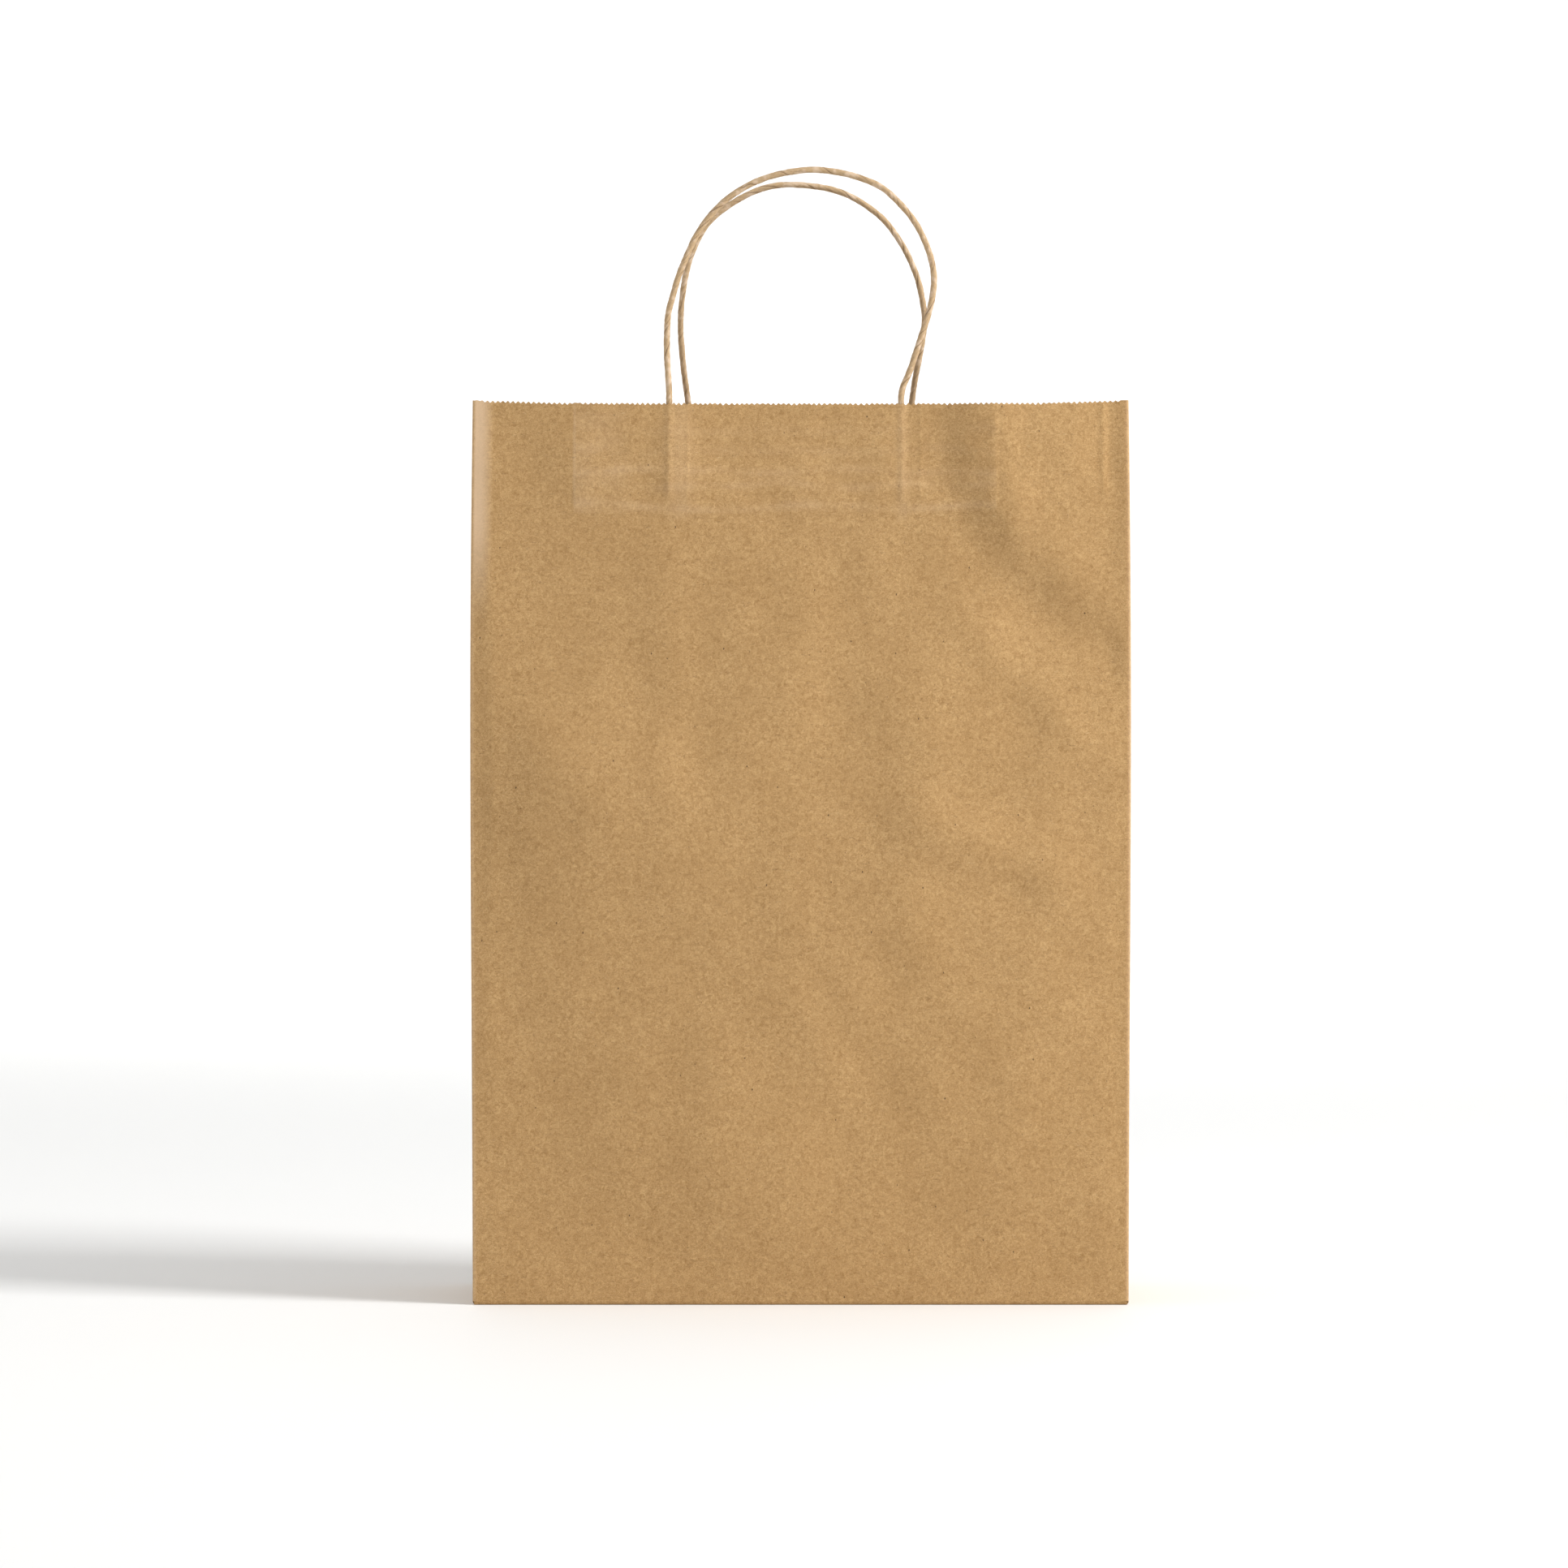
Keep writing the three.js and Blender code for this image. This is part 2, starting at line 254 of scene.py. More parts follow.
def closed_sheet(name, outer, inner):
    """A closed thin sheet: the outer grid, the inner grid turned round, and a strip along their border. Each
    grid is an array of rows by columns by 3, and the columns run clockwise seen from above."""
    rows, columns = outer.shape[:2]
    count = rows * columns
    border = np.concatenate([
        np.arange(columns),
        np.arange(1, rows) * columns + columns - 1,
        (rows - 1) * columns + np.arange(columns - 2, -1, -1),
        np.arange(rows - 2, 0, -1) * columns,
    ])
    after = np.roll(border, -1)
    rim = np.stack([border, after, after + count, border + count], axis=1)
    faces = np.concatenate([grid_faces(rows, columns), grid_faces(rows, columns, count)[:, ::-1], rim])
    return add_mesh(name, np.concatenate([outer.reshape(-1, 3), inner.reshape(-1, 3)]), faces)


# ---- The sheet's outline ----

def straight(start, end, count):
    """Evenly spaced points of the outline from start up to but not at end, with their outward normal."""
    start, end = np.array(start, float), np.array(end, float)
    run = (end - start) / np.hypot(*(end - start))
    points = start + (end - start) * np.arange(count)[:, None] / count
    return np.column_stack([points, np.full(count, -run[1]), np.full(count, run[0])])


def arc(centre, radius, start, end, count):
    """Points on an arc of the outline, from the start angle up to but not at the end angle, in degrees."""
    turn = np.radians(start + (end - start) * np.arange(count) / count)
    normal = np.column_stack([np.cos(turn), np.sin(turn)])
    return np.column_stack([np.array(centre) + radius * normal, normal])


def outline(*stretches):
    """Joins stretches, and closes the last one by carrying it one more step."""
    points = np.concatenate(stretches)
    last = stretches[-1]
    if np.allclose(last[0, 2:], last[-1, 2:]):
        end = last[-1] + [*(last[-1, :2] - last[-2, :2]), 0, 0]
    else:
        step = last[-1, 2:] - last[-2, 2:]
        end = last[-1] + [*(last[-1, :2] - last[-2, :2]), *step]
    return np.vstack([points, end])


def girth(x, y):
    """Distance round the bag to a point of the outline: front, left side, back, right side."""
    width, depth = 2 * HALF_WIDTH, 2 * HALF_DEPTH
    on_side = (np.abs(x) > HALF_WIDTH - PANEL_BAND) & (np.abs(y) < HALF_DEPTH - PANEL_BAND)
    left = width + y + HALF_DEPTH
    right = 2 * width + depth + HALF_DEPTH - y
    face = np.where(y < 0, HALF_WIDTH - x, width + depth + HALF_WIDTH + x)
    return np.where(on_side, np.where(x < 0, left, right), face)


# ---- The sheet's relief ----

def patch_relief(x, z, patch, legs):
    """What shows through a panel of the patch and cords glued behind it: a faint step, ridges and glue."""
    (left, _, low), (right, _, high) = patch
    inside = smooth(left - 0.001, left + 0.0006, x) * (1 - smooth(right - 0.0006, right + 0.001, x))
    inside = inside * smooth(low - 0.001, low + 0.0006, z)
    relief = 0.00016 * inside
    for leg in legs:
        relief = relief + 0.00030 * hump(leg, 0.0014, x) * smooth(low + 0.002, low + 0.008, z)
        relief = relief + 0.00010 * hump(leg + 0.0068, 0.0008, x) * smooth(low + 0.001, low + 0.006, z)
    for share, depth in ((0.12, 0.00008), (0.3, 0.00005), (0.42, 0.00007)):
        level = low + share * (high - low) + 0.0006 * waves(x, 0 * x, 5, 0.06, 0.06)
        relief = relief + depth * hump(level, 0.0013, z) * inside
    return relief + 0.00007 * inside * waves(x, z, 8, 0.013, 0.010)


def bowed(x, z, fade):
    """A wide panel's broad shape: it swells from both upright folds to a flat middle, and fades by the given
    share towards the mouth."""
    sizes = bpy.context.scene.gift_bag_sizes
    across = smooth(0, 0.058, HALF_WIDTH + x) * smooth(0, 0.085, HALF_WIDTH - x)
    return sizes.bow * across * smooth(0, 0.06, z) * (1 - fade * smooth(0.18, 0.27, z))


def front_relief(x, z):
    """How far each point of the front panel stands out: its bow, a shoulder beside the upper left fold, a
    crumpled plateau at the upper right with a shallow hollow on the way to it, a swelling at the left, the
    print of the folded bottom and the soft creases of handling."""
    from_left, from_right = HALF_WIDTH + x, HALF_WIDTH - x
    legs = handle_legs("front")
    relief = bowed(x, z, 0.75) + patch_relief(x, z, FRONT_PATCH, legs)
    relief = relief + 0.0007 * hump(legs[0] + 0.002, 0.007, x) * smooth(0.285, 0.305, z)
    relief = relief + 0.0011 * smooth(0.225, 0.275, z) * smooth(0, 0.007, from_left) * (
        1 - smooth(0.012, 0.10, from_left))
    beside = x - 0.061 - 0.155 * (0.326 - z)
    above = 0.631 * (x - 0.068) + 0.777 * (z - 0.281)
    fall = np.clip(from_right / 0.060, 0, 1)
    plateau = smooth(-0.014, 0.014, beside) * smooth(-0.013, 0.013, above) * fall
    creased = 0.0034 * plateau * (1 + 0.035 * waves(x, z, 41, 0.016, 0.021))
    approach = smooth(-0.070, -0.004, beside) * smooth(-0.060, -0.004, above)
    approach = approach * smooth(0.014, 0.05, from_right)
    creased = creased - 0.0015 * approach * (1 - plateau)
    creased = creased + 0.00008 * plateau * waves(x, z, 42, 0.009, 0.011)
    for height, start, end, width, seed in FRONT_CREASES:
        creased = creased + height * ridge(x, z, start, end, width, seed)
    crest = 0.197 - 0.20 * (x + 0.122)
    swelling = hump(0, np.where(z < crest, 0.046, 0.024), z - crest)
    creased = creased + 0.0040 * swelling * smooth(-0.121, -0.076, x) * (1 - smooth(-0.070, -0.005, x))
    creased = creased + 0.0003 * hump(0.1105, 0.0014, x) * smooth(0.292, 0.302, z)
    creased = creased - 0.0001 * hump(0.0872, 0.0011, z) * (1 - smooth(-0.03, 0.03, x))
    creased = creased - 0.0001 * hump(0.0425, 0.0011, z) * (1 - smooth(-0.105, -0.09, x))
    creased = creased + 0.00060 * waves(x, z, 11, 0.12, 0.13)
    creased = creased + 0.00003 * waves(x, z, 12, 0.036, 0.09)
    creased = creased + 0.00014 * waves(x, z, 13, 0.034, 0.034, 30)
    return relief + creased * edge_fade(x, z)


def back_relief(x, z):
    """How far each point of the back panel stands out: its bow, the patch behind it and some soft creases."""
    relief = bowed(x, z, 0.5) + patch_relief(x, z, REAR_PATCH, handle_legs("rear"))
    creased = 0.00080 * waves(x, z, 21, 0.12, 0.15) + 0.00016 * waves(x, z, 22, 0.034, 0.20)
    creased = creased + 0.00011 * waves(x, z, 23, 0.024, 0.034)
    for height, start, end, width, seed in BACK_CREASES:
        creased = creased + height * ridge(x, z, start, end, width, seed)
    creased = creased - 0.00008 * hump(0.0862, 0.0011, z) - 0.00006 * hump(0.0431, 0.0011, z)
    return relief + creased * edge_fade(x, z)


def edge_fade(x, z):
    """Holds a panel's creases back from its upright folds and its foot."""
    return smooth(0, 0.009, HALF_WIDTH - np.abs(x)) * smooth(0.001, 0.03, z)


def side_relief(y, z, seed):
    """How far each point of a gusset stands out: its creased middle draws in, more towards the mouth."""
    sizes = bpy.context.scene.gift_bag_sizes
    reach = np.where(y < MIDDLE_CREASE, MIDDLE_CREASE - FRONT_CREASE, HALF_DEPTH - MIDDLE_CREASE)
    inward = np.clip(1 - np.abs(y - MIDDLE_CREASE) / reach, 0, 1)
    draw = sizes.gusset_pinch * (0.15 + 0.85 * smooth(0.02, 0.33, z))
    fade = smooth(0, 0.012, HALF_DEPTH - np.abs(y)) * smooth(0.001, 0.03, z)
    fade = fade * smooth(0, 0.006, np.abs(y - MIDDLE_CREASE))
    cockle = 0.00040 * waves(y, z, seed, 0.05, 0.11) + 0.00010 * waves(y, z, seed + 1, 0.02, 0.05)
    slant = ridge(y, z, (MIDDLE_CREASE, 0.046), (-HALF_DEPTH, 0.002), 0.0016, seed + 2)
    slant = slant + ridge(y, z, (MIDDLE_CREASE, 0.046), (HALF_DEPTH, 0.002), 0.0016, seed + 3)
    return -draw * inward + (cockle - 0.00012 * slant) * fade


def relief_at(x, y, z):
    """The relief of any point of the tube's outline. The corners stay where they are."""
    on_side = np.abs(y) < HALF_DEPTH - PANEL_BAND
    side = np.where(x < 0, side_relief(y, z, 51), side_relief(y, z, 61))
    face = np.where(y < 0, front_relief(x, z), back_relief(x, z))
    return np.where(on_side, side, face)


def wear_and_highlight_at(x, y, z):
    """How pale each point of the sheet is made: worn pale on its folds, with a painted highlight along the
    upper left shoulder of the front, pale marks over a patch glued behind a panel that are part painted
    highlight and part glue print, and paler bands beside the front handle's legs."""
    from_side, from_face = HALF_WIDTH - np.abs(x), HALF_DEPTH - np.abs(y)
    on_face = from_face < PANEL_BAND
    fold = 0.25 * np.where(on_face, hump(0.0006, 0.0007, from_side), hump(0.0006, 0.0007, from_face))
    fold = fold + np.where(on_face, 0, 0.25 * hump(MIDDLE_CREASE, 0.0006, y))
    from_left = x + HALF_WIDTH
    # Painted highlight: a pale band just inside the upper left fold of the front, added on top of the fold
    # wear.
    shoulder = smooth(0.245, 0.290, z) * smooth(0.0004, 0.0016, from_left)
    shoulder = shoulder * (1 - smooth(0.0028, 0.0085, from_left))
    wear_and_highlight = fold + 0.82 * shoulder * on_face * (y < 0)
    # Pale marks over each patch, part painted highlight and part glue print.
    for box, face in ((FRONT_PATCH, on_face & (y < 0)), (REAR_PATCH, on_face & (y > 0))):
        wear_and_highlight = wear_and_highlight + patch_shine(x, z, box) * face
    left, right = handle_legs("front")
    # Paler bands beside the front handle's legs, from the patch's foot upward.
    paler_by_legs = 0.11 * hump(left + 0.0042, 0.0048, x) + 0.10 * hump(right + 0.0002, 0.0022, x)
    wear_and_highlight = wear_and_highlight + paler_by_legs * smooth(FRONT_PATCH[0][2] - 0.004, FRONT_PATCH[0][2], z) * on_face * (y < 0)
    return np.clip(wear_and_highlight, 0, 1)


def patch_shine(x, z, box):
    """The pale marks of a patch, part painted highlight on its glue ridges and part the glue's print: its
    outline, its glue lines and cloudy spots between them.
    """
    (left, _, low), (right, _, high) = box
    inside = smooth(left - 0.0004, left + 0.0004, x) * (1 - smooth(right - 0.0004, right + 0.0004, x))
    inside = inside * smooth(low - 0.0008, low + 0.0008, z)
    shine = 0.20 * hump(left, 0.0004, x) * smooth(low, low + 0.012, z)
    cloud = 0.35 + 0.65 * smooth(-1.2, 1.2, waves(x, z, 9, 0.030, 0.012))
    for share, depth in ((0.06, 0.17), (0.27, 0.12), (0.40, 0.14), (0.60, 0.07), (0.78, 0.06)):
        level = low + share * (high - low) + 0.0007 * waves(x, 0 * x, 5 + int(20 * share), 0.05, 0.06)
        shine = shine + depth * hump(level, 0.0016, z) * inside * cloud
    # Painted highlight over the patch's left end.
    end = 1 - smooth(left + 0.015, left + 0.023, x)
    return shine + 0.10 * end * inside * cloud


def side_swell(z):
    """How much wider the bag is at a height than at its foot."""
    sizes = bpy.context.scene.gift_bag_sizes
    return 1 + sizes.side_swell / HALF_WIDTH * np.sin(math.pi * np.clip(z / HEIGHT, 0, 1) ** 1.6)


def handle_legs(word):
    """Where a handle's two legs stand, across the bag."""
    boxes = [corners(f"{word}_handle_{side}_leg") for side in ("left", "right")]
    return sorted(float(low[0] + high[0]) / 2 for low, high in boxes)


# ---- The sheet's cut edge and its walls ----

def mouth_height(x, y):
    """The height of the mouth's cut before its teeth: it sinks a little between a wide panel's corners."""
    sizes = bpy.context.scene.gift_bag_sizes
    from_corner = np.where(np.abs(y) < HALF_DEPTH - PANEL_BAND, 0, HALF_WIDTH - np.abs(x))
    return HEIGHT + sizes.mouth_rise - sizes.mouth_dip * smooth(0, 0.04, from_corner)


def teeth(distance):
    """How deep the toothed cut goes at a distance round the bag: an uneven row of triangles, worn down at the
    front panel's two ends and at one place on it."""
    sizes = bpy.context.scene.gift_bag_sizes
    wander = 0.06 * waves(distance, 0 * distance, 71, 0.012, 1)
    phase = distance / sizes.tooth_pitch + wander
    triangle = 2 * np.abs(phase - np.floor(phase) - 0.5)
    uneven = 1 + 0.13 * waves(distance, 0 * distance, 72, 0.009, 1)
    flat_start = smooth(0.002, 0.0045, distance)
    flat_end = 1 - 0.75 * smooth(2 * HALF_WIDTH - 0.0045, 2 * HALF_WIDTH - 0.002, distance)
    worn = 1 - 0.8 * hump(0.202, 0.0018, distance)
    front = np.where(distance < 2 * HALF_WIDTH, flat_start * flat_end * worn, 1)
    return sizes.tooth_height * triangle * uneven * front


def wall_rows():
    """The heights of a wall's rows when its mouth is at the full height: closer where the patch shows, with
    the last one alone above the teeth's roots."""
    patch_foot = FRONT_PATCH[0][2] - 0.004
    tooth_root = HEIGHT - 0.0022
    lower = np.linspace(WALL_BASE, patch_foot, 52)
    upper = np.linspace(patch_foot, tooth_root, 38)[1:]
    return np.concatenate([lower, upper, [HEIGHT]])


def wall(name, path):
    """A stretch of the tube as a closed sheet. Each column is a point of the outline, each row a height; the
    outer face is the outline pushed out by the relief and swollen sideways, and the inner face is one paper
    thickness inside it."""
    sizes = bpy.context.scene.gift_bag_sizes
    x, y, normal_x, normal_y = (path[:, i][None, :] for i in range(4))
    top = mouth_height(x, y)
    heights = wall_rows()[:, None]
    z = WALL_BASE + (heights - WALL_BASE) * (top - WALL_BASE) / (HEIGHT - WALL_BASE)
    out = relief_at(x, y, z)
    cut = np.zeros(z.shape)
    cut[-1] = teeth(girth(x, y))[0]
    swell = side_swell(z)
    grids = []
    for depth in (0, sizes.paper):
        across = (x + normal_x * (out - depth)) * swell
        along = y + normal_y * (out - depth)
        grids.append(np.stack([across, along, z - cut], axis=2))
    piece = closed_sheet(name, *grids)
    # The attribute holds fold wear and painted highlights, blended towards the pale colour in the paper's
    # material.
    wear_and_highlight = np.broadcast_to(wear_and_highlight_at(x, y, z), z.shape).astype(np.float32).ravel()
    wear_and_highlight = np.concatenate([wear_and_highlight, 0 * wear_and_highlight])
    piece.data.attributes.new("wear_and_highlight", "FLOAT", "POINT").data.foreach_set("value", wear_and_highlight)
    return piece


def finish_paper(piece, slot="kraft_paper"):
    """Gives a piece its paper and names the slot that it takes its finish from."""
    colours = bpy.context.scene.gift_bag_colours
    piece.data.materials.append(kraft_paper(f"{slot}_finish", colours))
    return piece


# ---- Materials ----

class Nodes:
    """A short way to add shader nodes and join them. An input is named by its socket, or by its number."""

    def __init__(self, tree):
        self.tree = tree

    def add(self, kind, settings=None, **inputs):
        node = self.tree.nodes.new(kind)
        for key, value in (settings or {}).items():
            setattr(node, key, value)
        for key, value in inputs.items():
            numbered = key[1:].isdigit()
            self.feed(node.inputs[int(key[1:])] if numbered else node.inputs[key.replace("_", " ")], value)
        return node

    def feed(self, socket, value):
        if isinstance(value, bpy.types.NodeSocket):
            self.tree.links.new(value, socket)
        else:
            socket.default_value = value

    def noise(self, vector, scale, detail=2, rough=0.5, distortion=0.0):
        node = self.add("ShaderNodeTexNoise", Vector=vector, Scale=scale, Detail=detail, Roughness=rough,
                        Distortion=distortion)
        return node.outputs["Fac"]

    def ramp(self, value, low, high, start=0.0, end=1.0):
        node = self.add("ShaderNodeMapRange", {"interpolation_type": "SMOOTHSTEP"}, Value=value,
                        From_Min=low, From_Max=high, To_Min=start, To_Max=end)
        return node.outputs["Result"]

    def maths(self, operation, first, second):
        return self.add("ShaderNodeMath", {"operation": operation}, _0=first, _1=second).outputs[0]

    def blend(self, factor, first, second):
        node = self.add("ShaderNodeMix", {"data_type": "RGBA"}, _0=factor, _6=first, _7=second)
        return node.outputs[2]

    def stretched(self, vector, turn, scale):
        node = self.add("ShaderNodeMapping", Vector=vector, Rotation=turn, Scale=scale)
        return node.outputs["Vector"]


def new_material(name):
    """An empty material with its shader, ready for a colour, a roughness and a bump."""
    material = bpy.data.materials.new(name)
    material.use_nodes = True
    tree = material.node_tree
    shader = next(node for node in tree.nodes if node.type == "BSDF_PRINCIPLED")
    return material, Nodes(tree), shader


def kraft_paper(name, colours):
    """Uncoated kraft: a cloudy brown with fine mottle, crossing fibres, bark flecks and pale hairs."""
    found = bpy.data.materials.get(name)
    if found:
        return found
    material, nodes, shader = new_material(name)
    place = nodes.add("ShaderNodeTexCoord").outputs["Object"]
    cloud = nodes.noise(place, 60, 3, 0.6)
    mottle = nodes.noise(place, 520, 5, 0.75, 1.2)
    grain = nodes.noise(place, 1700, 3, 0.7, 1.6)
    pale, dark = [], []
    for turn, scale in (((0.7, 0.6, 0.4), (620, 620, 2600)), ((0.3, 1.3, 1.1), (700, 560, 2800)),
                        ((1.2, -0.8, 0.5), (580, 700, 2500))):
        pale.append(nodes.noise(nodes.stretched(place, turn, scale), 1.0, 2, 0.55, 0.5))
        other = tuple(1.9 * angle + 0.9 for angle in turn)
        dark.append(nodes.noise(nodes.stretched(place, other, scale), 0.8, 2, 0.55, 1.1))
    pale = nodes.maths("MAXIMUM", nodes.maths("MAXIMUM", pale[0], pale[1]), pale[2])
    dark = nodes.maths("MAXIMUM", nodes.maths("MAXIMUM", dark[0], dark[1]), dark[2])
    hairs = nodes.ramp(pale, 0.64, 0.80)
    shade = nodes.maths("ADD", nodes.maths("MULTIPLY", mottle, 0.5), nodes.maths("MULTIPLY", grain, 0.5))
    colour = nodes.blend(nodes.ramp(shade, 0.34, 0.66), colours.kraft_dark, colours.kraft)
    colour = nodes.blend(nodes.maths("MULTIPLY", hairs, 0.45), colour, colours.kraft_light)
    colour = nodes.blend(nodes.ramp(dark, 0.60, 0.82, 0.0, 0.42), colour, colours.fleck)
    colour = nodes.blend(nodes.ramp(cloud, 0.35, 0.70, 0.0, 0.16), colour, colours.kraft_dark)
    for scale, reach, strength in ((156, 0.050, 0.9), (270, 0.066, 0.55), (520, 0.085, 0.40)):
        cell = nodes.add("ShaderNodeTexVoronoi", Vector=nodes.stretched(place, (0.4, 0.2, 0.7), (1, 1, 0.65)),
                         Scale=scale)
        spot = nodes.ramp(cell.outputs["Distance"], reach, reach * 0.5, 0.0, strength)
        colour = nodes.blend(spot, colour, colours.fleck)
    # Fold wear and painted highlights: the sheet's attribute blends the colour towards the pale one.
    wear_and_highlight = nodes.add("ShaderNodeAttribute", {"attribute_name": "wear_and_highlight"}).outputs["Fac"]
    colour = nodes.blend(nodes.maths("MULTIPLY", wear_and_highlight, 0.85), colour, colours.wear_and_highlight)
    nodes.tree.links.new(colour, shader.inputs["Base Color"])
    rough = nodes.ramp(mottle, 0.3, 0.7, 0.74, 0.90)
    nodes.tree.links.new(rough, shader.inputs["Roughness"])
    height = nodes.maths("ADD", nodes.maths("MULTIPLY", mottle, 0.5), nodes.maths("MULTIPLY", grain, 0.5))
    height = nodes.maths("ADD", height, nodes.maths("MULTIPLY", hairs, 0.25))
    bump = nodes.add("ShaderNodeBump", Strength=0.35, Distance=0.00008, Height=height)
    nodes.tree.links.new(bump.outputs["Normal"], shader.inputs["Normal"])
    shader.inputs["Specular IOR Level"].default_value = 0.25
    shader.inputs["Sheen Weight"].default_value = 0.04
    shader.inputs["Sheen Roughness"].default_value = 0.6
    return material


def twisted_paper(colours):
    """The cords' paper: painted shade in the twist's furrows, pale on its ridges, with creases that follow
    the twist.
    The mesh carries the depth of the furrow as an attribute and the strip's own directions as its UV map."""
    material, nodes, shader = new_material("paper_cord_finish")
    place = nodes.add("ShaderNodeTexCoord")
    furrow = nodes.add("ShaderNodeAttribute", {"attribute_name": "furrow"}).outputs["Fac"]
    strip = nodes.stretched(place.outputs["UV"], (0, 0, 0), (26, 1.3, 1))
    streak = nodes.noise(strip, 1.0, 4, 0.6)
    grain = nodes.noise(place.outputs["Object"], 1300, 3, 0.6)
    mottle = nodes.noise(place.outputs["Object"], 260, 2, 0.5)
    tone = nodes.maths("ADD", nodes.maths("MULTIPLY", streak, 0.6), nodes.maths("MULTIPLY", grain, 0.4))
    colour = nodes.blend(nodes.ramp(tone, 0.36, 0.62), colours.cord_dull, colours.cord)
    colour = nodes.blend(nodes.ramp(mottle, 0.48, 0.66, 0.0, 0.7), colour, colours.cord_light)
    # Painted shade: the furrow's depth darkens the colour towards the shade colour.
    colour = nodes.blend(nodes.ramp(furrow, 0.10, 0.9, 0.0, 0.85), colour, colours.cord_shade)
    nodes.tree.links.new(colour, shader.inputs["Base Color"])
    nodes.tree.links.new(nodes.ramp(streak, 0.3, 0.7, 0.62, 0.8), shader.inputs["Roughness"])
    height = nodes.maths("ADD", nodes.maths("MULTIPLY", streak, 0.8), nodes.maths("MULTIPLY", grain, 0.2))
    bump = nodes.add("ShaderNodeBump", Strength=0.5, Distance=0.00012, Height=height)
    nodes.tree.links.new(bump.outputs["Normal"], shader.inputs["Normal"])
    shader.inputs["Specular IOR Level"].default_value = 0.4
    shader.inputs["Sheen Weight"].default_value = 0.08
    return material


# ---- Cords ----

def cord_centre_line(word, route):
    """The whole centre line of a handle's cord, from one glued end up through its loop and down to the other.
    Each stretch is a cubic of its four nearest route points. The line is taken at equal steps and averaged
    over its neighbours. In its patch it follows the panel's relief."""
    left, right = handle_legs(word)
    loop_low, loop_high = corners(f"{word}_handle_loop")
    depth = (loop_low[1] + loop_high[1]) / 2
    bend = JOINTS[f"{word}_handle_tilt"]["pos_m"][2]
    rise = loop_high[2] - CORD_RADIUS - bend
    middle, half = (left + right) / 2, (right - left) / 2
    points = [[left, LEG_FOOT + (bend - LEG_FOOT) * share] for share in (0, 0.25, 0.5, 0.75)]
    points += [[middle + across * half, bend + up * rise] for across, up in route]
    points += [[right, LEG_FOOT + (bend - LEG_FOOT) * share] for share in (0.75, 0.5, 0.25, 0)]
    points = np.array(points)
    padded = np.vstack([2 * points[0] - points[1], points, 2 * points[-1] - points[-2]])
    share = np.linspace(0, 1, 24, endpoint=False)[:, None]
    bits = []
    for a, b, c, d in zip(padded, padded[1:], padded[2:], padded[3:]):
        bits.append(0.5 * (2 * b + (c - a) * share + (2 * a - 5 * b + 4 * c - d) * share ** 2
                           + (3 * b - a - 3 * c + d) * share ** 3))
    line = np.vstack([*bits, points[-1:]])
    run = np.concatenate([[0], np.cumsum(np.hypot(*np.diff(line, axis=0).T))])
    step = 0.00028
    even = np.linspace(0, run[-1], int(run[-1] / step))
    x, z = np.interp(even, run, line[:, 0]), np.interp(even, run, line[:, 1])
    kernel = np.hanning(31) / np.hanning(31).sum()
    x, z = (
        np.convolve(np.pad(way, 15, mode="reflect", reflect_type="odd"), kernel, "valid") for way in (x, z))
    free = smooth(bend, bend + 0.02, z)
    glued = 1 - smooth(bend - 0.004, bend + 0.02, z)
    below = np.minimum(z, HEIGHT)
    relief = front_relief(x, below) if word == "front" else back_relief(x, below)
    outward = -1 if word == "front" else 1
    y = depth + outward * (relief + 0.0002) * glued
    y = y + free * 0.0004 * waves(even, 0 * even, 81 if word == "front" else 82, 0.07, 1)
    return np.column_stack([x, y, z])


